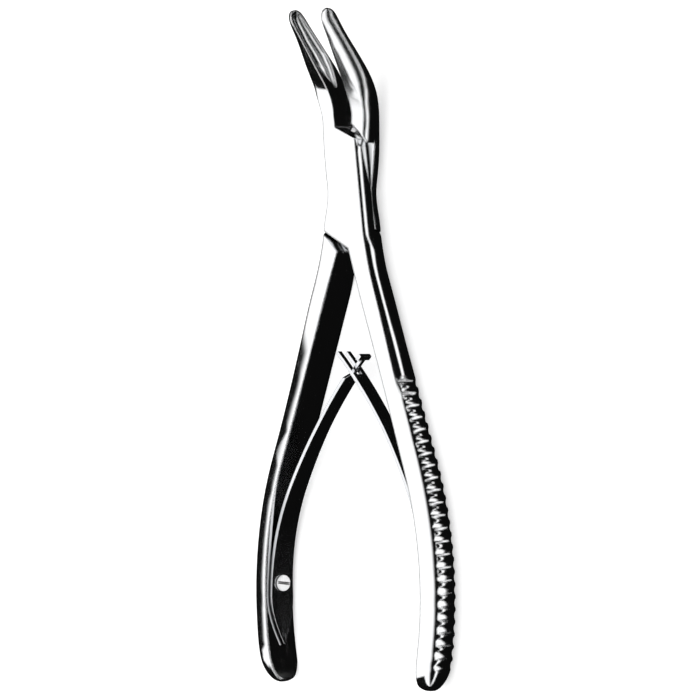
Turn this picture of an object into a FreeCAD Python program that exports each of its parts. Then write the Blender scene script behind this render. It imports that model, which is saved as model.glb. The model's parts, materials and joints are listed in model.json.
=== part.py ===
import FreeCAD, Part
import math
import os

# Bone rongeur: two forged limbs that cross at a lap joint, with a double leaf spring.
# Each limb is shaped in the closed position, about the pivot axis, with X to the right,
# Y toward the jaws and Z toward the front. The limbs are then opened and set in place.

# Overall lengths from the pivot, closed
handle_length = 105.0
jaw_reach = 36.9
half_open = 7.8

# Depths in Z
shank_depth = 7.0
grip_depth = 7.5
lap_front_depth = 3.15
lap_rear_depth = 2.4
lap_gap = 0.06

# Joint block
block_half_width = 5.3
block_upper_bevel = 1.0
block_lower_bevel = 0.5
block_bevel_depth = 1.0
block_front_bulge = 0.45
block_rear_bulge = 1.2
block_lower_corner = 9.0
block_upper_corner = 9.5
block_lower_flare = 2.6
lower_shoulder_slope = 33.0
upper_shoulder_slope = 29.0
shoulder_gap = 0.45

# Handle
crotch_reach = 12.3
shank_splay = 14.13
bow_radius = 70.0
bow_peak_reach = 76.7
handle_thickness = 4.35
shank_front_bulge = 0.9
shank_rear_bulge = 3.4
grip_front_bulge = 2.0
grip_rear_bulge = 2.75
root_flare = 2.3
root_flare_length = 6.0
root_end_reach = 24.6
handle_end_round = 6.0
end_rings = 4
end_margin = 0.35
inner_stock = 1.2
inner_bulge = 1.2
grip_swell_start = 35.0
grip_swell_end = 70.0
grip_bulge_reach = 55.0
handle_stations = 16
side_strips = 9
back_stock = 0.1

# Grip ribs
rib_pitch = 2.62
rib_depth = 0.42
groove_width = 2.2
groove_wrap = 40.0
first_groove_reach = 41.6
last_groove_margin = 3.6

# Jaw
neck_start = 6.0
bend_start = 10.7
bend_radius = 25.0
bend_angle = 32.4
neck_thickness = 4.8
neck_depth = 4.9
neck_length = 12.5
nose_start = 16.0
jaw_round_share = 0.8
jaw_round_reach = 20.15
jaw_stations = 12
tip_thickness = 1.3
tip_depth = 3.5
tip_round = 2.4
jaw_bulge = 2.4
jaw_relief = 0.85
relief_share = 0.4
relief_start = 15.5
bite_start = 20.5
bite_gap = 0.1

# Cup scooped in the biting face
cup_length = 17.6
cup_depth = 1.35
cup_rim = 0.3
cup_tip_wall = 0.7
cup_point_share = 0.45
cup_point_width = 0.15
cup_stations = 11
cup_end_margin = 0.35

# Pivot screw
journal_diameter = 4.0
journal_clearance = 0.03
pivot_thread_diameter = 3.0
pivot_thread_length = 2.2
pivot_head_diameter = 5.4
pivot_head_height = 1.0
pivot_counterbore_depth = 0.7
pivot_head_side_gap = 0.15
pivot_head_seat_gap = 0.05
thread_fit = 0.01

# Leaf springs
leaf_thickness = 0.8
leaf_centre_depth = 3.4
leaf_seat_gap = 0.02
leaf_start_reach = 97.3
leaf_lift_reach = 86.0
leaf_first_radius = 44.5
leaf_first_turn = 29.0
leaf_second_radius = 105.0
fork_overlap = 5.2
tongue_overlap = 4.4
leaf_base_width = 5.8
leaf_neck_start_width = 3.4
leaf_taper_end = 50.0
leaf_point_length = 10.0
leaf_point_width = 0.3
leaf_point_steps = 6
tongue_neck_width = 0.9
tongue_neck_length = 4.3
tongue_shoulder = 1.0
tongue_head_width = 2.9
tongue_head_length = 1.1
fork_slot_width = 1.35
fork_slot_length = 5.1

# Spring screws
spring_screw_reach = 84.6
spring_screw_diameter = 1.8
spring_screw_head_diameter = 3.4
spring_screw_head_height = 0.8
spring_screw_length = 2.0
spring_screw_fit = 0.02
spring_screw_seat_gap = 0.09
leaf_hole_clearance = 0.1

# Screw heads
slot_width = 0.6
slot_depth_share = 0.55
head_crown_share = 0.6
head_crown_width = 0.7
head_crown_steps = 3

# Room for cutting tools to run past the metal, and steps to find where two faces meet
overrun = 5.0
meeting_steps = 20

Vector = FreeCAD.Vector
Z_AXIS = Vector(0, 0, 1)

mid_plane = shank_depth / 2
block_rear = mid_plane - lap_rear_depth
block_front = mid_plane + lap_front_depth
block_depth = block_front - block_rear
bow_centre_y = -bow_peak_reach
splay = math.radians(shank_splay)
bow_tangent_y = bow_centre_y + bow_radius * math.sin(splay)
bow_tangent_x = (-bow_tangent_y - crotch_reach) * math.tan(splay)
bow_centre_x = bow_tangent_x - bow_radius * math.cos(splay)
bend = math.radians(bend_angle)
bend_end_y = bend_start + bend_radius * math.sin(bend)
bend_begins = bend_start - neck_start
bend_ends = bend_begins + bend_radius * bend
jaw_path_length = bend_ends + (jaw_reach - bend_end_y) / math.cos(bend)
cup_base = jaw_path_length - cup_length - cup_tip_wall
pivot_seat = block_rear + pivot_counterbore_depth


def ease(value, start, end):
    """Smooth step from 0 at start to 1 at end."""
    share = min(max((value - start) / (end - start), 0.0), 1.0)
    return share * share * (3 - 2 * share)


def mix(a, b, share):
    return a + (b - a) * share


def inner_x(reach):
    """X of the handle's inner face at a distance below the pivot."""
    if -reach > bow_tangent_y:
        return (reach - crotch_reach) * math.tan(splay)
    along = -reach - bow_centre_y
    return bow_centre_x + math.sqrt(bow_radius ** 2 - along ** 2)


def inner_slope(reach):
    """Angle between the handle's inner face and the long axis."""
    if -reach > bow_tangent_y:
        return splay
    return math.asin((-reach - bow_centre_y) / bow_radius)


def outer_x(reach):
    """X of the handle's outer face at a distance below the pivot."""
    wall = handle_thickness / math.cos(inner_slope(reach))
    flare = root_flare * math.exp(-(reach - crotch_reach) / root_flare_length)
    handle = inner_x(reach) + wall + flare
    return mix(block_half_width, handle, ease(reach, block_lower_corner, root_end_reach))


def block_left_x(y):
    """X of the block's left side, which widens toward its lower corner."""
    return -block_half_width - block_lower_flare * ease(-y, 0.0, block_lower_corner)


# Cross-sections of a limb

def section_wire(centre, normal, left, right, left_bulges, right_bulges, half_depth):
    """Closed profile with a flat front and rear and two bulged sides.

    Each side has two bulges: how far the front and the rear flat stop short of it.
    The inner poles stand out by a sixth of their sum, so the curve's middle is the extreme.
    """
    def side(extreme, outward, bulges, top):
        swell = extreme + outward * sum(bulges) / 6
        across = [extreme - outward * bulges[0], swell, swell, extreme - outward * bulges[1]]
        levels = (top, top, -top, -top)
        poles = [centre + Vector(x, 0, 0) + normal * n for x, n in zip(across, levels)]
        return curve_strips(poles)

    right_side = side(right, 1, right_bulges, half_depth)
    left_side = side(left, -1, left_bulges[::-1], -half_depth)
    front = Part.makeLine(left_side[-1].Vertexes[1].Point, right_side[0].Vertexes[0].Point)
    rear = Part.makeLine(right_side[-1].Vertexes[1].Point, left_side[0].Vertexes[0].Point)
    return Part.Wire([front] + right_side + [rear] + left_side)


def curve_strips(poles):
    """Short edges along a Bezier curve: a loft through them has narrow ground strips."""
    curve = Part.BezierCurve()
    curve.setPoles(poles)
    points = [curve.value(i / side_strips) for i in range(side_strips + 1)]
    return [Part.makeLine(a, b) for a, b in zip(points, points[1:])]


def scaled(bulges, factor):
    return [bulge * factor for bulge in bulges]


def mixed(bulges, other, share):
    return [mix(a, b, share) for a, b in zip(bulges, other)]


block_bulges = (block_front_bulge, block_rear_bulge)
shank_bulges = (shank_front_bulge, shank_rear_bulge)
grip_bulges = (grip_front_bulge, grip_rear_bulge)
inner_bulges = (inner_bulge, inner_bulge)


def handle_section(reach, shrink=1.0):
    """Section of the handle, wider on the inner side by the stock that is cut away."""
    leaving_block = ease(reach, block_lower_corner, root_end_reach)
    depth = mix(shank_depth, grip_depth, ease(reach, grip_swell_start, grip_swell_end))
    depth = mix(block_depth, depth + back_stock, leaving_block)
    rear = mix(block_rear, -back_stock, leaving_block)
    right = outer_x(reach)
    left = mix(block_left_x(-reach), inner_x(reach) - inner_stock - inner_bulge, leaving_block)
    outer = mixed(shank_bulges, grip_bulges, ease(reach, root_end_reach, grip_bulge_reach))
    outer = mixed(block_bulges, outer, leaving_block)
    inner = mixed(block_bulges, inner_bulges, leaving_block)
    middle = (right + inner_x(reach)) / 2
    right = mix(middle, right, shrink)
    left = mix(middle, left, shrink)
    centre = Vector(0, -reach, rear + depth / 2)
    bulges = (scaled(inner, shrink), scaled(outer, shrink))
    return section_wire(centre, Z_AXIS, left, right, *bulges, depth / 2 * shrink)


def block_section(y):
    centre = Vector(0, y, block_rear + block_depth / 2)
    sides = (block_left_x(y), block_half_width)
    return section_wire(centre, Z_AXIS, *sides, block_bulges, block_bulges, block_depth / 2)


def jaw_path(along):
    """Centre and normal of the jaw's bent path at a distance along it."""
    if along < bend_begins:
        return Vector(0, neck_start + along, mid_plane), Z_AXIS
    angle = min((along - bend_begins) / bend_radius, bend)
    straight = max(along - bend_ends, 0.0)
    y = bend_start + bend_radius * math.sin(angle) + straight * math.cos(bend)
    z = mid_plane + bend_radius * (1 - math.cos(angle)) + straight * math.sin(bend)
    return Vector(0, y, z), Vector(0, -math.sin(angle), math.cos(angle))


def jaw_shape(along):
    """Thickness, bulges, depth and forward shift of the jaw at a distance along its path."""
    neck = ease(along, 0.0, neck_length)
    nose = ease(along, nose_start, jaw_path_length + tip_round)
    cup = ease(along, cup_base, jaw_path_length)
    thickness = mix(mix(block_half_width, neck_thickness, neck), tip_thickness, nose)
    depth = mix(mix(block_depth, neck_depth, neck), tip_depth, cup)
    roundness = ease(along, neck_length, jaw_round_reach)
    bulges = mixed(block_bulges, (jaw_bulge, jaw_bulge), roundness)
    bulges = [min(bulge, thickness * jaw_round_share) for bulge in bulges]
    lift = (lap_front_depth - depth / 2) * (1 - ease(along, bend_begins, neck_length))
    return thickness, bulges, depth, lift


def jaw_section(along, shrink=1.0):
    centre, normal = jaw_path(along)
    thickness, outer, depth, lift = jaw_shape(along)
    right = mix(block_half_width, inner_stock + inner_bulge, ease(along, bend_begins, neck_length))
    left = -thickness
    middle = -thickness / 2
    right = mix(middle, right, shrink)
    left = mix(middle, left, shrink)
    inner = mixed(block_bulges, inner_bulges, ease(along, 0.0, neck_length))
    bulges = (scaled(outer, shrink), scaled(inner, shrink))
    return section_wire(centre + normal * lift, normal, left, right, *bulges, depth / 2 * shrink)


def rounded_end(length):
    """Distances from the end and the shrink that rounds the end to an ellipse."""
    for i in range(1, end_rings + 1):
        angle = math.pi / 2 * i / (end_rings + end_margin)
        yield length * (1 - math.sin(angle)), math.cos(angle)


def limb_bar():
    """The forged bar: handle, joint block and bent jaw in one smooth loft."""
    wires = []
    for back, shrink in reversed(list(rounded_end(handle_end_round))):
        wires.append(handle_section(handle_length - back, shrink))
    handle_body = handle_length - handle_end_round
    for i in range(handle_stations + 1):
        wires.append(handle_section(mix(handle_body, block_lower_corner, i / handle_stations)))
    for y in (-block_lower_corner / 2, 0.0, neck_start / 2):
        wires.append(block_section(y))
    jaw_body = jaw_path_length - tip_round
    for i in range(jaw_stations + 1):
        wires.append(jaw_section(jaw_body * i / jaw_stations))
    for back, shrink in rounded_end(tip_round):
        wires.append(jaw_section(jaw_path_length - back, shrink))
    return Part.makeLoft(wires, True, False)


def prism(points, bottom, top):
    """Upright block over a closed outline of points and three-point arcs."""
    edges = []
    start = points[0]
    for item in points[1:] + [points[0]]:
        if len(item) == 4:
            end = item[2:]
            arc = Part.Arc(Vector(*start, bottom), Vector(*item[:2], bottom), Vector(*end, bottom))
            edges.append(arc.toShape())
        else:
            end = item
            edges.append(Part.makeLine(Vector(*start, bottom), Vector(*end, bottom)))
        start = end
    return Part.Face(Part.Wire(edges)).extrude(Vector(0, 0, top - bottom))


tool_bottom = -overrun
tool_top = mid_plane + jaw_reach
side_x = block_half_width + overrun * 2
handle_far_x = bow_centre_x + bow_radius + handle_thickness + overrun


def handle_inner_tool():
    """Everything inward of the handle's inner face and below the block's lower shoulder."""
    slope = math.tan(math.radians(lower_shoulder_slope))
    corner = Vector(-block_half_width, -block_lower_corner, 0)
    far = (-side_x, corner.y + slope * (side_x - block_half_width))
    meet_x = 0.0
    meet_y = corner.y - slope * block_half_width
    for _ in range(meeting_steps):
        meet_x = inner_x(-meet_y)
        meet_y = corner.y - slope * (meet_x - corner.x)
    end_y = -handle_length - overrun
    middle_y = (bow_tangent_y + end_y) / 2
    points = [
        far,
        (meet_x, meet_y),
        (bow_tangent_x, bow_tangent_y),
        (inner_x(-middle_y), middle_y, inner_x(-end_y), end_y),
        (-side_x, end_y),
    ]
    return prism(points, tool_bottom, tool_top)


def jaw_inner_tool():
    """Everything inward of the jaw's biting face and above the block's upper shoulder."""
    slope = math.tan(math.radians(upper_shoulder_slope))
    bite_x = -bite_gap / 2
    top_y = jaw_reach + overrun
    far = (side_x, block_upper_corner - slope * (side_x - block_half_width))
    meet = (-jaw_relief, block_upper_corner + slope * (block_half_width + jaw_relief))
    relief_middle = (mix(bite_x, -jaw_relief, relief_share), (relief_start + bite_start) / 2)
    points = [
        far,
        meet,
        (-jaw_relief, relief_start),
        (*relief_middle, bite_x, bite_start),
        (bite_x, top_y),
        (side_x, top_y),
    ]
    return prism(points, tool_bottom, tool_top)


def lap_outline(lower_spread=0.0, upper_spread=0.0):
    """Corners of the band between the two shoulders, each moved outward by a spread."""
    lower = math.radians(lower_shoulder_slope)
    upper = math.radians(upper_shoulder_slope)
    lower_y = -block_lower_corner - (shoulder_gap + lower_spread) / math.cos(lower)
    upper_y = block_upper_corner + (shoulder_gap + upper_spread) / math.cos(upper)
    far_side = side_x + block_half_width
    near_side = side_x - block_half_width
    return [
        (-side_x, lower_y - math.tan(lower) * far_side),
        (side_x, lower_y + math.tan(lower) * near_side),
        (side_x, upper_y + math.tan(upper) * far_side),
        (-side_x, upper_y - math.tan(upper) * near_side),
    ]


def level_outline(corners, z):
    points = [Vector(x, y, z) for x, y in corners]
    return Part.makePolygon(points + [points[0]])


def lap_recess(floor_z, face_z, outward):
    """Half of the depth between the shoulders, whose edges are bevelled at the outer face."""
    far_z = face_z + outward * (jaw_reach + overrun)
    recess = prism(lap_outline(), min(floor_z, far_z), max(floor_z, far_z))
    growth = 1 + overrun / block_bevel_depth
    spread = lap_outline(block_lower_bevel * growth, block_upper_bevel * growth)
    bevel_start = level_outline(lap_outline(), face_z - outward * block_bevel_depth)
    bevel_end = level_outline(spread, face_z + outward * overrun)
    return recess.fuse(Part.makeLoft([bevel_start, bevel_end], True, True))


def back_tool():
    """Everything behind the flat that the handles lie on."""
    length = handle_length + jaw_reach + overrun * 2
    corner = Vector(-side_x, -handle_length - overrun, -overrun)
    return Part.makeBox(side_x + handle_far_x, length, overrun, corner)


def groove_cutters():
    """Round cutters laid across the grip: two per groove, over its side and its rear round."""
    half_width = groove_width / 2
    radius = (half_width ** 2 + rib_depth ** 2) / (2 * rib_depth)
    length = grip_depth + overrun * 2
    wrap = math.radians(groove_wrap)
    half_depth = grip_depth / 2
    turn = math.atan2(grip_rear_bulge * math.cos(wrap), half_depth * math.sin(wrap))
    inset = grip_rear_bulge * (1 - math.sin(turn))
    rise = half_depth * (1 - math.cos(turn))
    cutters = []
    reach = first_groove_reach
    while reach < handle_length - last_groove_margin:
        slope = inner_slope(reach)
        outward = Vector(math.cos(slope), math.sin(slope), 0)
        side = Vector(outer_x(reach), -reach, half_depth)
        rear = Vector(side.x, side.y, rise) - outward * inset
        lean = outward * math.sin(wrap) + Z_AXIS * math.cos(wrap)
        away = outward * math.cos(wrap) - Z_AXIS * math.sin(wrap)
        for point, axis, normal in ((side, Z_AXIS, outward), (rear, lean, away)):
            start = point + normal * (radius - rib_depth) - axis * (length / 2)
            cutters.append(Part.makeCylinder(radius, length, start, axis))
        reach += rib_pitch * math.cos(slope)
    return Part.makeCompound(cutters)


def cup_cutter():
    """Long shallow scoop in the biting face, pointed toward the joint."""
    wires = []
    for i in range(cup_stations):
        angle = math.pi * (i + cup_end_margin) / (cup_stations - 1 + cup_end_margin * 2)
        share = (1 - math.cos(angle)) / 2
        along = jaw_path_length - cup_tip_wall - cup_length * share
        centre, normal = jaw_path(along)
        depth = jaw_shape(along)[2]
        nose = math.sqrt(math.sin(min(angle, math.pi / 2)))
        point = min(1.0, (1 - share) / cup_point_share)
        width = mix(cup_point_width, depth / 2 - cup_rim, nose * math.sin(point * math.pi / 2))
        scoop = cup_depth * math.sin(angle)
        centre = centre + Vector(-bite_gap / 2, 0, 0)
        wires.append(scoop_wire(centre, normal * width, Vector(scoop, 0, 0)))
    return Part.makeLoft(wires, True, False)


def scoop_wire(centre, half_width, depth):
    """Half ellipse into the metal, closed by a line over the biting face.

    The inner poles lie four thirds of the depth away, so the curve is one depth deep.
    """
    full = depth * 4 / 3
    low = centre - half_width
    high = centre + half_width
    arc = curve_strips([low, low - full, high - full, high])
    rim = [high, high + depth, low + depth, low]
    lid = [Part.makeLine(a, b) for a, b in zip(rim, rim[1:])]
    return Part.Wire(arc + lid)


# Seats for the spring and its screw on the handle

def bow_point(reach, inward):
    """Point off the handle's inner face, on the bow's radius, with its direction inward."""
    angle = math.asin((reach - bow_peak_reach) / bow_radius)
    radius = bow_radius - inward
    point = Vector(bow_centre_x + radius * math.cos(angle), bow_centre_y - radius * math.sin(angle), 0)
    return point, Vector(-math.cos(angle), math.sin(angle), 0)


def spring_screw_hole():
    point, inward = bow_point(spring_screw_reach, 0.0)
    radius = spring_screw_diameter / 2 + spring_screw_fit
    start = Vector(point.x, point.y, leaf_centre_depth) + inward * overrun
    return Part.makeCylinder(radius, spring_screw_length + overrun, start, inward * -1)


def limb():
    bar = limb_bar()
    bar = bar.cut(handle_inner_tool())
    bar = bar.cut(jaw_inner_tool())
    bar = bar.cut(back_tool())
    bar = bar.cut(groove_cutters())
    bar = bar.cut(cup_cutter())
    return bar.cut(spring_screw_hole())


# Leaf springs

def leaf_arcs(overlap):
    """Start heading and (radius, turn) of each arc in the leaf's middle line."""
    middle = leaf_seat_gap + leaf_thickness / 2
    start_angle = math.asin((leaf_start_reach - bow_peak_reach) / bow_radius)
    lift_angle = math.asin((leaf_lift_reach - bow_peak_reach) / bow_radius)
    first_turn = math.radians(leaf_first_turn)
    point, _ = bow_point(leaf_lift_reach, middle)
    heading = -lift_angle
    first_centre = point - heading_normal(heading) * leaf_first_radius
    heading += first_turn
    second_centre = first_centre + heading_normal(heading) * (leaf_first_radius - leaf_second_radius)
    opening = math.radians(half_open)
    from_middle = second_centre.x * math.cos(opening) - second_centre.y * math.sin(opening)
    crossing = math.acos(-from_middle / leaf_second_radius) - opening
    second_turn = crossing - heading + overlap / leaf_second_radius
    base = (bow_radius - middle, start_angle - lift_angle)
    return -start_angle, [base, (leaf_first_radius, first_turn), (leaf_second_radius, second_turn)]


def heading_normal(heading):
    return Vector(math.cos(heading), math.sin(heading), 0)


def leaf_side(overlap, offset):
    """Edges of the leaf's middle line moved sideways, as tangent arcs."""
    heading, arcs = leaf_arcs(overlap)
    point, _ = bow_point(leaf_start_reach, leaf_seat_gap + leaf_thickness / 2)
    edges = []
    for radius, turn in arcs:
        centre = point - heading_normal(heading) * radius
        spread = []
        for share in (0.0, 0.5, 1.0):
            spread.append(centre + heading_normal(heading + turn * share) * (radius + offset))
        edges.append(Part.Arc(*spread).toShape())
        heading += turn
        point = centre + heading_normal(heading) * radius
    return edges


def leaf_slab(overlap):
    """The leaf bent to shape, at its full base width."""
    outer = leaf_side(overlap, leaf_thickness / 2)
    inner = leaf_side(overlap, -leaf_thickness / 2)
    start = Part.makeLine(inner[0].Vertexes[0].Point, outer[0].Vertexes[0].Point)
    end = Part.makeLine(outer[-1].Vertexes[-1].Point, inner[-1].Vertexes[-1].Point)
    wire = Part.Wire(Part.__sortEdges__([start] + outer + [end] + inner))
    slab = Part.Face(wire).extrude(Vector(0, 0, leaf_base_width))
    slab.translate(Vector(0, 0, leaf_centre_depth - leaf_base_width / 2))
    return slab


def side_prism(points):
    """Block through the full width, over an outline given as Y and Z off the mid depth."""
    corners = [Vector(-side_x, y, leaf_centre_depth + z) for y, z in points]
    face = Part.Face(Part.makePolygon(corners + [corners[0]]))
    return face.extrude(Vector(side_x + handle_far_x, 0, 0))


def mirrored_outline(half):
    """Closed outline from the points of its +Z half."""
    return half + [(y, -z) for y, z in reversed(half)]


def leaf_outline():
    """Pointed base, full width at the screw, slow taper toward the free end."""
    start_y = -leaf_start_reach
    half_base = leaf_base_width / 2
    half_neck = leaf_neck_start_width / 2
    points = [(start_y, leaf_point_width / 2)]
    for i in range(1, leaf_point_steps + 1):
        share = i / leaf_point_steps
        half = mix(leaf_point_width / 2, half_base, math.sin(share * math.pi / 2))
        points.append((start_y + leaf_point_length * share, half))
    points.append((-leaf_taper_end, half_neck))
    points.append((0.0, half_neck))
    return mirrored_outline(points)


def screw_hole_in_leaf():
    point, inward = bow_point(spring_screw_reach, 0.0)
    radius = spring_screw_diameter / 2 + leaf_hole_clearance
    start = Vector(point.x, point.y, leaf_centre_depth) - inward * overrun
    return Part.makeCylinder(radius, overrun * 2, start, inward)


def blank_leaf(overlap):
    slab = leaf_slab(overlap).common(side_prism(leaf_outline()))
    return slab.cut(screw_hole_in_leaf())


def tongue_leaf():
    leaf = blank_leaf(tongue_overlap)
    tip_y = leaf_tip_y(tongue_overlap)
    neck_start_y = tip_y - tongue_neck_length
    neck_top = tip_y - tongue_head_length
    half_neck = tongue_neck_width / 2
    half_head = tongue_head_width / 2
    far = leaf_base_width
    for sign in (1, -1):
        gap = [
            (neck_start_y - tongue_shoulder, far),
            (neck_start_y - tongue_shoulder, leaf_neck_start_width / 2),
            (neck_start_y, half_neck),
            (neck_top, half_neck),
            (neck_top, half_head),
            (0.0, half_head),
            (0.0, far),
        ]
        leaf = leaf.cut(side_prism([(y, sign * z) for y, z in gap]))
    return leaf


def fork_leaf():
    half_slot = fork_slot_width / 2
    slot_end_y = leaf_tip_y(fork_overlap) - fork_slot_length
    slot = mirrored_outline([(slot_end_y, half_slot), (0.0, half_slot)])
    return blank_leaf(fork_overlap).cut(side_prism(slot))


def leaf_tip_y(overlap):
    return leaf_side(overlap, 0.0)[-1].Vertexes[-1].Point.y


# Screws

def slotted(head, centre, axis, height, diameter):
    """Cut a straight driver slot across the end of a head."""
    depth = height * slot_depth_share
    slot = Part.makeBox(diameter * 2, slot_width, depth * 2, Vector(-diameter, -slot_width / 2, -depth))
    turn = FreeCAD.Rotation(Z_AXIS, axis)
    slot.Placement = FreeCAD.Placement(centre, turn)
    return head.cut(slot)


def crowned_head(radius, height, seat, outward):
    """Turned head that stands on a seat, its edge crowned by a few narrow bevels."""
    profile = [Vector(0, 0, 0), Vector(radius, 0, 0)]
    for i in range(head_crown_steps + 1):
        angle = math.pi / 2 * i / head_crown_steps
        x = radius - head_crown_width * (1 - math.cos(angle))
        z = height - height * head_crown_share * (1 - math.sin(angle))
        profile.append(Vector(x, 0, z))
    profile += [Vector(0, 0, height), Vector(0, 0, 0)]
    head = Part.Face(Part.makePolygon(profile)).revolve(Vector(0, 0, 0), Z_AXIS, 360)
    head.Placement = FreeCAD.Placement(seat, FreeCAD.Rotation(Z_AXIS, outward))
    return head


def spring_screw():
    point, inward = bow_point(spring_screw_reach, leaf_seat_gap + leaf_thickness)
    seat = Vector(point.x, point.y, leaf_centre_depth) + inward * spring_screw_seat_gap
    radius = spring_screw_head_diameter / 2
    height = spring_screw_head_height
    head = crowned_head(radius, height, seat, inward)
    shank_length = leaf_thickness + spring_screw_seat_gap + spring_screw_length
    shank = Part.makeCylinder(spring_screw_diameter / 2, shank_length, seat, inward * -1)
    head = slotted(head, seat + inward * height, inward, height, spring_screw_head_diameter)
    return head.fuse(shank).removeSplitter()


def pivot_screw():
    head_top = pivot_seat - pivot_head_seat_gap
    head_bottom = head_top - pivot_head_height
    front_face = mid_plane + lap_gap / 2
    seat = Vector(0, 0, head_top)
    shoulder = Vector(0, 0, front_face)
    backward = Z_AXIS * -1
    head = crowned_head(pivot_head_diameter / 2, pivot_head_height, seat, backward)
    slot_centre = Vector(0, 0, head_bottom)
    head = slotted(head, slot_centre, backward, pivot_head_height, pivot_head_diameter)
    journal = Part.makeCylinder(journal_diameter / 2, front_face - head_top, seat, Z_AXIS)
    thread = Part.makeCylinder(pivot_thread_diameter / 2, pivot_thread_length, shoulder, Z_AXIS)
    return head.fuse([journal, thread]).removeSplitter()


# The two limbs from one form

def front_limb_closed(form):
    recess = lap_recess(mid_plane + lap_gap / 2, block_rear, -1)
    radius = pivot_thread_diameter / 2 + thread_fit
    depth = pivot_thread_length + thread_fit
    hole = Part.makeCylinder(radius, depth + lap_gap, Vector(0, 0, mid_plane - lap_gap / 2), Z_AXIS)
    return form.cut(recess).cut(hole)


def rear_limb_closed(form):
    recess = lap_recess(mid_plane - lap_gap / 2, block_front, 1)
    bore_radius = journal_diameter / 2 + journal_clearance
    hole = Part.makeCylinder(bore_radius, shank_depth, Vector(0, 0, 0), Z_AXIS)
    head_radius = pivot_head_diameter / 2 + pivot_head_side_gap
    counterbore = Part.makeCylinder(head_radius, overrun + pivot_seat, Vector(0, 0, -overrun), Z_AXIS)
    return mirrored(form.cut(recess)).cut(hole).cut(counterbore)


def mirrored(shape):
    return shape.mirror(Vector(0, 0, 0), Vector(1, 0, 0))


def opened(shape, sign):
    turned = shape.copy()
    turned.rotate(Vector(0, 0, 0), Z_AXIS, sign * half_open)
    return turned


form = limb()
screw = spring_screw()
placed = {
    "front_limb": opened(front_limb_closed(form), 1),
    "rear_limb": opened(rear_limb_closed(form), -1),
    "pivot_screw": opened(pivot_screw(), 1),
    "fork_spring": opened(fork_leaf(), 1),
    "tongue_spring": opened(mirrored(tongue_leaf()), -1),
    "fork_spring_screw": opened(screw, 1),
    "tongue_spring_screw": opened(mirrored(screw), -1),
}

# Origin at the middle of the footprint, on the table
whole = Part.makeCompound(list(placed.values()))
extent = whole.optimalBoundingBox(False)
shift = Vector(0, -(extent.YMin + extent.YMax) / 2, 0)

os.makedirs("parts", exist_ok=True)
for name, shape in placed.items():
    shape.translate(shift)
    shape.exportStep(os.path.join("parts", name + ".step"))
    print(name, shape.ShapeType, shape.isValid(), len(shape.Solids), round(shape.Volume, 2))
print("pivot y", round(shift.y, 3))
print("length", round(extent.YLength, 2), "width", round(extent.XLength, 2))
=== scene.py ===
import json
import math

import bmesh
import bpy
from mathutils import Matrix, Vector


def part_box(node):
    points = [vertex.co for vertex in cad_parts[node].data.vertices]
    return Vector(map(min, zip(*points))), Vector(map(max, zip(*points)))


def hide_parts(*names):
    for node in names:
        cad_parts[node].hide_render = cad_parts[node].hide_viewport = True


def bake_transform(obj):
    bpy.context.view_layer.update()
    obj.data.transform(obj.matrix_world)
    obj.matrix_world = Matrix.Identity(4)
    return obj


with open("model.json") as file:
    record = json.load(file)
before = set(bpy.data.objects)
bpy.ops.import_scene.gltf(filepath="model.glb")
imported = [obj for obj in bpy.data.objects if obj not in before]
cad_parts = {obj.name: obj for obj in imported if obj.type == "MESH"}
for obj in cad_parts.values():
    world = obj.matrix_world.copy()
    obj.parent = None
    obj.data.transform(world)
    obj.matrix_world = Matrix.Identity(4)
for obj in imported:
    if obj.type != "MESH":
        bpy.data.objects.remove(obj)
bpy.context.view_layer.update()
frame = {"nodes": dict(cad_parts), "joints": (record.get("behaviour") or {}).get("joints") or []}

MM = 0.001
Y_AXIS = 1
Z_AXIS = 2
WHITE = (1.0, 1.0, 1.0, 1.0)
nodes = frame["nodes"]
pivot = Vector(frame["joints"][0]["pos_m"])


# Camera: long lens, from above and the right, the object's length upright in the picture

camera_turn = math.radians(50.1885)
camera_roll = math.radians(-0.2455)
view_width = 144.42 * MM
centre_right = -0.865 * MM
centre_up = -33.256 * MM
lens = 300.0
sensor = 36.0
nearest = 0.01

# Studio lights: angles in degrees about the object's length, from straight up to the right.
# A direction's lean is its share along the length, positive toward the jaws.

window_left = -53.4
window_left_fade = 1.6
window_right_full = 40.0
window_right_end = 66.0
window_spread = 24.0
shade_lean = -0.48
shade_full_lean = -0.53
shade_angle = 28.0
strip_start = 106.0
strip_end = 124.0
strip_fade = 5.0
strip_shift = 15.0
shift_lean = 0.32
shift_full_lean = 0.37
light_strength = 1.25
dark_strength = 0.004
surroundings_strength = 1.0

# Floor of pale paper

floor_reach = 1.5
floor_drop = 0.05 * MM
paper_colour = (0.9, 0.9, 0.9, 1.0)
paper_roughness = 0.9
paper_glow = 0.45

# Steel: scales are cells per metre, and a pair says where a soft step starts and ends

limb_tint = (0.86, 0.865, 0.875)
spring_tint = (0.80, 0.81, 0.83)
screw_tint = (0.97, 0.97, 0.975)
grain_across = 9000.0
grain_along = 260.0
grain_height = 0.02 * MM
cloud_scale = 130.0
cloud_tint_step = (0.3, 0.7)
cloud_dullness = 0.95
scratch_scale = 330.0
scratch_stretch = (1.0, 0.35, 1.0)
scratch_width = 0.012
scratch_patch_step = (0.5, 0.62)
scratch_height = -0.01 * MM
scratch_strength = 0.08
scratch_roughness = 0.12
wander_scale = 420.0
wander_reach = 2.0 * MM
edge_samples = 4
edge_step = (0.995, 0.93)
edge_roughness = 0.05
edge_brightness = 1.06
# Painted shade: the steel's colour goes nearly black where ambient occlusion finds the surface
# enclosed, in hollows, grooves, slots and gaps.
hollow_shade_samples = 8
hollow_shade_fade = 0.4
painted_shade_colour = (0.02, 0.02, 0.02, 1.0)
satin_start = 10.0 * MM
satin_full = 24.0 * MM

# Shading of the ground surfaces

smooth_limit = math.radians(33.0)
fold_limit = math.radians(8.0)
flat_slope = 0.997
half_flat = 0.5
half_flat_margin = 0.2
border_reach = 33.0 * MM
weld_distance = 0.002 * MM
area_weight = 100

# Cross cuts of the leaf springs

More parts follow.
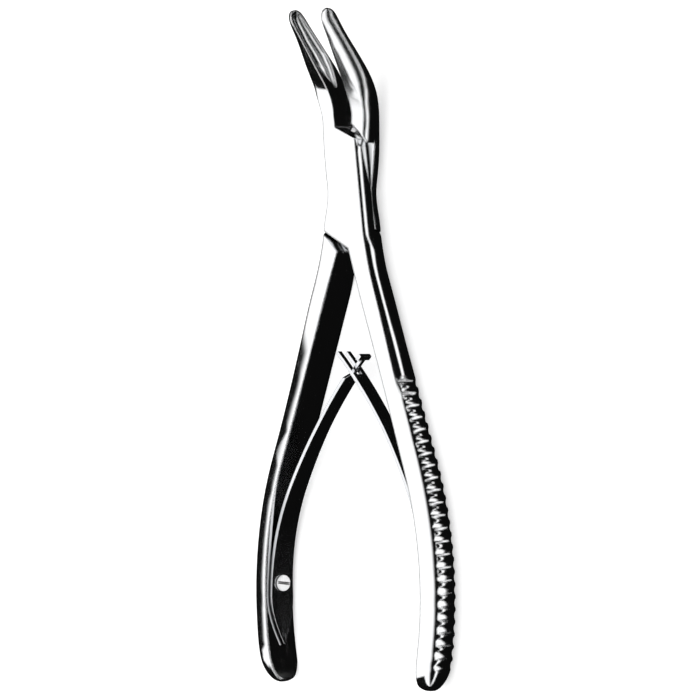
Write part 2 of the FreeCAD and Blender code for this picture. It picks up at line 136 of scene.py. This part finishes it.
leaf_cuts = 56
leaf_weld = 0.001 * MM


def place_camera():
    toward = Vector((math.sin(camera_turn), 0, math.cos(camera_turn)))
    level_right = Vector((math.cos(camera_turn), 0, -math.sin(camera_turn)))
    level_up = Vector((0, 1, 0))
    right = level_right * math.cos(camera_roll) + level_up * math.sin(camera_roll)
    up = level_up * math.cos(camera_roll) - level_right * math.sin(camera_roll)
    target = pivot + right * centre_right + up * centre_up
    data = bpy.data.cameras.new("camera")
    data.lens = lens
    data.sensor_width = sensor
    data.clip_start = nearest
    camera = bpy.data.objects.new("camera", data)
    turn = Matrix((right, up, toward)).transposed().to_4x4()
    camera.matrix_world = Matrix.Translation(target + toward * view_width * lens / sensor) @ turn
    bpy.context.scene.collection.objects.link(camera)
    bpy.context.scene.camera = camera
    bpy.context.scene.view_settings.view_transform = "Standard"


class Tree:
    """Short calls that build a node tree."""

    def __init__(self, tree):
        self.tree = tree
        tree.nodes.clear()

    def node(self, kind, **settings):
        made = self.tree.nodes.new(kind)
        for name, value in settings.items():
            setattr(made, name, value)
        return made

    def put(self, socket, value):
        if isinstance(value, bpy.types.NodeSocket):
            self.tree.links.new(value, socket)
        else:
            socket.default_value = value

    def put_all(self, made, values):
        for socket, value in zip(made.inputs, values):
            self.put(socket, value)
        return made.outputs[0]

    def math(self, operation, *values):
        return self.put_all(self.node("ShaderNodeMath", operation=operation), values)

    def vector(self, operation, *values):
        return self.put_all(self.node("ShaderNodeVectorMath", operation=operation), values)

    def compare(self, operation, *values):
        return self.put_all(self.node("FunctionNodeCompare", operation=operation), values)

    def logic(self, operation, *values):
        return self.put_all(self.node("FunctionNodeBooleanMath", operation=operation), values)

    def parts(self, vector):
        made = self.node("ShaderNodeSeparateXYZ")
        self.put(made.inputs[0], vector)
        return made.outputs

    def step(self, value, low, high):
        """Smooth rise from 0 at low to 1 at high, or fall where low is above high."""
        made = self.node("ShaderNodeMapRange", interpolation_type="SMOOTHSTEP")
        falls = low > high
        self.put(made.inputs["Value"], value)
        self.put(made.inputs["From Min"], min(low, high))
        self.put(made.inputs["From Max"], max(low, high))
        self.put(made.inputs["To Min"], 1.0 if falls else 0.0)
        self.put(made.inputs["To Max"], 0.0 if falls else 1.0)
        return made.outputs["Result"]

    def spread(self, value, low, high):
        """Straight scaling of a 0 to 1 value to low to high."""
        made = self.node("ShaderNodeMapRange")
        self.put(made.inputs["Value"], value)
        self.put(made.inputs["To Min"], low)
        self.put(made.inputs["To Max"], high)
        return made.outputs["Result"]

    def noise(self, vector, scale, detail=2.0, roughness=0.5, output="Fac"):
        made = self.node("ShaderNodeTexNoise")
        self.put(made.inputs["Vector"], vector)
        self.put(made.inputs["Scale"], scale)
        self.put(made.inputs["Detail"], detail)
        self.put(made.inputs["Roughness"], roughness)
        return made.outputs[output]

    def mix_colour(self, factor, a, b):
        """Mix of two colours, by the places that the mix node's colour sockets have."""
        made = self.node("ShaderNodeMix", data_type="RGBA")
        self.put(made.inputs[0], factor)
        self.put(made.inputs[6], a)
        self.put(made.inputs[7], b)
        return made.outputs[2]

    def bump(self, height, strength, distance, normal):
        made = self.node("ShaderNodeBump")
        self.put(made.inputs["Strength"], strength)
        self.put(made.inputs["Distance"], distance)
        self.put(made.inputs["Height"], height)
        self.put(made.inputs["Normal"], normal)
        return made.outputs["Normal"]

    def white_light(self, strength):
        made = self.node("ShaderNodeBackground")
        self.put(made.inputs["Color"], WHITE)
        self.put(made.inputs["Strength"], strength)
        return made.outputs[0]


def window_and_strip(t):
    """1 where the polish sees the window overhead or the strip low at the right.

    The window's left edge moves left as the direction leans away from the jaws, and comes
    back right past shade_lean, which shades the fronts of the bent jaws. The strip moves
    down past shift_lean.
    """
    across, lean, up = t.parts(t.node("ShaderNodeTexCoord").outputs["Generated"])
    angle = t.math("DEGREES", t.math("ARCTAN2", across, up))
    left = t.math("MULTIPLY_ADD", t.math("MINIMUM", lean, 0.0), window_spread, window_left)
    shade = t.step(lean, shade_lean, shade_full_lean)
    left = t.math("ADD", left, t.math("MULTIPLY", shade, shade_angle))
    window = t.step(t.math("SUBTRACT", angle, left), -window_left_fade, window_left_fade)
    window = t.math("MULTIPLY", window, t.step(angle, window_right_end, window_right_full))
    shift = t.math("MULTIPLY", t.step(lean, shift_lean, shift_full_lean), strip_shift)
    beside = t.math("SUBTRACT", angle, shift)
    start = t.step(beside, strip_start, strip_start + strip_fade)
    end = t.step(beside, strip_end, strip_end - strip_fade)
    return t.math("MAXIMUM", window, t.math("MULTIPLY", start, end))


def studio_world():
    """Pale surroundings light the scene, and the polish reflects only window and strip."""
    world = bpy.data.worlds.new("studio")
    bpy.context.scene.world = world
    world.use_nodes = True
    t = Tree(world.node_tree)
    seen = t.math("MULTIPLY_ADD", window_and_strip(t), light_strength, dark_strength)
    choose = t.node("ShaderNodeMixShader")
    t.put(choose.inputs[0], t.node("ShaderNodeLightPath").outputs["Is Glossy Ray"])
    t.put(choose.inputs[1], t.white_light(surroundings_strength))
    t.put(choose.inputs[2], t.white_light(seen))
    t.put(t.node("ShaderNodeOutputWorld").inputs["Surface"], choose.outputs[0])


def new_material(name):
    """Material, its node tree and its surface shader."""
    material = bpy.data.materials.new(name)
    material.use_nodes = True
    t = Tree(material.node_tree)
    shader = t.node("ShaderNodeBsdfPrincipled")
    t.put(t.node("ShaderNodeOutputMaterial").inputs["Surface"], shader.outputs[0])
    return material, t, shader


def pale_floor():
    material, t, shader = new_material("pale_paper")
    t.put(shader.inputs["Base Color"], paper_colour)
    t.put(shader.inputs["Roughness"], paper_roughness)
    t.put(shader.inputs["Emission Color"], WHITE)
    t.put(shader.inputs["Emission Strength"], paper_glow)
    mesh = bpy.data.meshes.new("floor")
    signs = ((-1, -1), (1, -1), (1, 1), (-1, 1))
    corners = [(x * floor_reach, y * floor_reach, -floor_drop) for x, y in signs]
    mesh.from_pydata(corners, [], [(0, 1, 2, 3)])
    mesh.materials.append(material)
    floor = bpy.data.objects.new("floor", mesh)
    bpy.context.scene.collection.objects.link(floor)
    floor.visible_glossy = False


def polishing_lines(t, place, grain_axis):
    """Noise drawn out to fine lines along one axis."""
    stretch = [grain_across] * 3
    stretch[grain_axis] = grain_along
    return t.noise(t.vector("MULTIPLY", place, stretch), scale=1.0, detail=3.0, roughness=0.6)


def scratches(t, place, clouds):
    """Thin wandering scratches in patches: 1 on a scratch, 0 beside it."""
    wander = t.noise(place, wander_scale, output="Color")
    wander = t.vector("MULTIPLY", wander, (wander_reach,) * 3)
    bent = t.vector("ADD", t.vector("MULTIPLY", place, scratch_stretch), wander)
    cells = t.node("ShaderNodeTexVoronoi", feature="DISTANCE_TO_EDGE")
    t.put(cells.inputs["Vector"], bent)
    t.put(cells.inputs["Scale"], scratch_scale)
    hairline = t.step(cells.outputs["Distance"], scratch_width, 0.0)
    return t.math("MULTIPLY", hairline, t.step(clouds, *scratch_patch_step))


def worn_edges(t, rounded):
    """1 on an edge, where the rounded normal leaves the face's own."""
    facing = t.node("ShaderNodeVectorMath", operation="DOT_PRODUCT")
    t.put(facing.inputs[0], rounded)
    t.put(facing.inputs[1], t.node("ShaderNodeNewGeometry").outputs["Normal"])
    return t.step(facing.outputs["Value"], *edge_step)


def shade_of(tint, brightness):
    """The tint made brighter or duller, with full alpha."""
    return (*(min(1.0, part * brightness) for part in tint), 1.0)


def steel(name, tint, polish, satin, grain_axis, grain_depth, edge_radius,
          metallic=1.0, satin_jaw=0.0, hollow_shade_reach=1.0 * MM, shade_free_openness=0.9):
    """Stainless steel with polishing lines along one axis, scratches, worn edges, and painted
    shade: colour darkened in hollows by ambient occlusion.

    The roughness goes from polish to satin in clouds, and satin_jaw is added at the jaw.
    """
    material, t, shader = new_material(name)
    place = t.node("ShaderNodeTexCoord").outputs["Object"]
    clouds = t.noise(place, cloud_scale, detail=3.0, roughness=0.55)
    hairline = scratches(t, place, clouds)
    bevel = t.node("ShaderNodeBevel", samples=edge_samples)
    t.put(bevel.inputs["Radius"], edge_radius)
    rounded = bevel.outputs[0]
    edge = worn_edges(t, rounded)

    roughness = t.spread(clouds, polish, satin)
    roughness = t.math("ADD", roughness, t.math("MULTIPLY", hairline, scratch_roughness))
    roughness = t.math("ADD", roughness, t.math("MULTIPLY", edge, edge_roughness))
    if satin_jaw:
        length = t.parts(place)[Y_AXIS]
        jaw = t.step(length, pivot.y + satin_start, pivot.y + satin_full)
        roughness = t.math("ADD", roughness, t.math("MULTIPLY", jaw, satin_jaw))

    cloudy = t.step(clouds, *cloud_tint_step)
    colour = t.mix_colour(cloudy, shade_of(tint, cloud_dullness), shade_of(tint, 1.0))
    colour = t.mix_colour(edge, colour, shade_of(tint, edge_brightness))
    # Painted shade: the colour is mixed toward near black where ambient occlusion finds the
    # surface enclosed.
    occlusion_shade = t.node("ShaderNodeAmbientOcclusion", samples=hollow_shade_samples)
    t.put(occlusion_shade.inputs["Distance"], hollow_shade_reach)
    unshaded = t.step(occlusion_shade.outputs["AO"], shade_free_openness - hollow_shade_fade, shade_free_openness)
    colour = t.mix_colour(unshaded, painted_shade_colour, colour)

    lines = polishing_lines(t, place, grain_axis)
    normal = t.bump(lines, grain_depth, grain_height, rounded)
    normal = t.bump(hairline, scratch_strength, scratch_height, normal)
    t.put(shader.inputs["Metallic"], metallic)
    t.put(shader.inputs["Base Color"], colour)
    t.put(shader.inputs["Roughness"], roughness)
    t.put(shader.inputs["Normal"], normal)
    return material


def flat_border(t, angle):
    """True on a folded edge between a flat front or back and a side, in the upper part."""
    upright = t.math("ABSOLUTE", t.parts(t.node("GeometryNodeInputNormal").outputs[0])[Z_AXIS])
    flat = t.node("GeometryNodeFieldOnDomain", domain="FACE")
    t.put(flat.inputs[0], t.math("GREATER_THAN", upright, flat_slope))
    one_side_flat = t.math("COMPARE", flat.outputs[0], half_flat, half_flat_margin)
    length = t.parts(t.node("GeometryNodeInputPosition").outputs[0])[Y_AXIS]
    upper_part = t.compare("GREATER_THAN", length, pivot.y - border_reach)
    folded = t.compare("GREATER_THAN", angle, fold_limit)
    return t.logic("AND", t.logic("AND", one_side_flat, folded), upper_part)


def ground_surfaces():
    """Node group: strips of one surface shade as one, and real edges stay sharp."""
    tree = bpy.data.node_groups.new("ground_surfaces", "GeometryNodeTree")
    tree.interface.new_socket("Geometry", in_out="INPUT", socket_type="NodeSocketGeometry")
    tree.interface.new_socket("Geometry", in_out="OUTPUT", socket_type="NodeSocketGeometry")
    t = Tree(tree)
    merge = t.node("GeometryNodeMergeByDistance")
    t.put(merge.inputs["Geometry"], t.node("NodeGroupInput").outputs[0])
    t.put(merge.inputs["Distance"], weld_distance)
    plain = t.node("GeometryNodeRemoveAttribute")
    t.put(plain.inputs["Geometry"], merge.outputs[0])
    t.put(plain.inputs["Name"], "custom_normal")
    smooth = t.node("GeometryNodeSetShadeSmooth", domain="FACE")
    t.put(smooth.inputs["Geometry"], plain.outputs[0])
    angle = t.node("GeometryNodeInputMeshEdgeAngle").outputs["Unsigned Angle"]
    gentle = t.compare("LESS_THAN", angle, smooth_limit)
    edges = t.node("GeometryNodeSetShadeSmooth", domain="EDGE")
    t.put(edges.inputs["Geometry"], smooth.outputs[0])
    t.put(edges.inputs["Shade Smooth"], t.logic("NIMPLY", gentle, flat_border(t, angle)))
    t.put(t.node("NodeGroupOutput").inputs[0], edges.outputs[0])
    return tree


def finish_surface(piece, material, shading_group):
    piece.data.materials.clear()
    piece.data.materials.append(material)
    shading = piece.modifiers.new("ground_surfaces", "NODES")
    shading.node_group = shading_group
    weight = piece.modifiers.new("flat_faces_stay_flat", "WEIGHTED_NORMAL")
    weight.mode = "FACE_AREA"
    weight.weight = area_weight
    weight.keep_sharp = True


def bending_leaf(node, name):
    """The CAD leaf, welded, with even cross cuts along its length."""
    mesh = nodes[node].data.copy()
    mesh.name = name
    shape = bmesh.new()
    shape.from_mesh(mesh)
    bmesh.ops.remove_doubles(shape, verts=shape.verts, dist=leaf_weld)
    low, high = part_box(node)
    for i in range(1, leaf_cuts):
        y = low.y + (high.y - low.y) * i / leaf_cuts
        everything = shape.verts[:] + shape.edges[:] + shape.faces[:]
        bmesh.ops.bisect_plane(shape, geom=everything, plane_co=(0, y, 0), plane_no=(0, 1, 0))
    shape.to_mesh(mesh)
    shape.free()
    piece = bpy.data.objects.new(name, mesh)
    bpy.context.scene.collection.objects.link(piece)
    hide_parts(node)
    return piece


place_camera()
studio_world()
pale_floor()

front_steel = steel(
    "front_limb_steel", limb_tint, polish=0.04, satin=0.09,
    grain_axis=Y_AXIS, grain_depth=0.04, edge_radius=0.45 * MM,
)
rear_steel = steel(
    "rear_limb_steel", limb_tint, polish=0.04, satin=0.09,
    grain_axis=Y_AXIS, grain_depth=0.04, edge_radius=0.75 * MM, satin_jaw=0.12,
)
spring_steel = steel(
    "spring_steel", spring_tint, polish=0.07, satin=0.15,
    grain_axis=Y_AXIS, grain_depth=0.16, edge_radius=0.12 * MM,
)
screw_steel = steel(
    "screw_steel", screw_tint, polish=0.20, satin=0.32,
    grain_axis=Z_AXIS, grain_depth=0.14, edge_radius=0.06 * MM,
    metallic=0.1, hollow_shade_reach=0.6 * MM, shade_free_openness=0.93,
)

shading_group = ground_surfaces()
finish_surface(nodes["front_limb"], front_steel, shading_group)
finish_surface(nodes["rear_limb"], rear_steel, shading_group)
for node in ("pivot_screw", "fork_spring_screw", "tongue_spring_screw"):
    finish_surface(nodes[node], screw_steel, shading_group)

for node, name, own, other in (
    ("fork_spring", "fork_leaf", "front_half", "rear_half"),
    ("tongue_spring", "tongue_leaf", "rear_half", "front_half"),
):
    leaf = bending_leaf(node, name)
    finish_surface(leaf, spring_steel, shading_group)
    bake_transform(leaf)
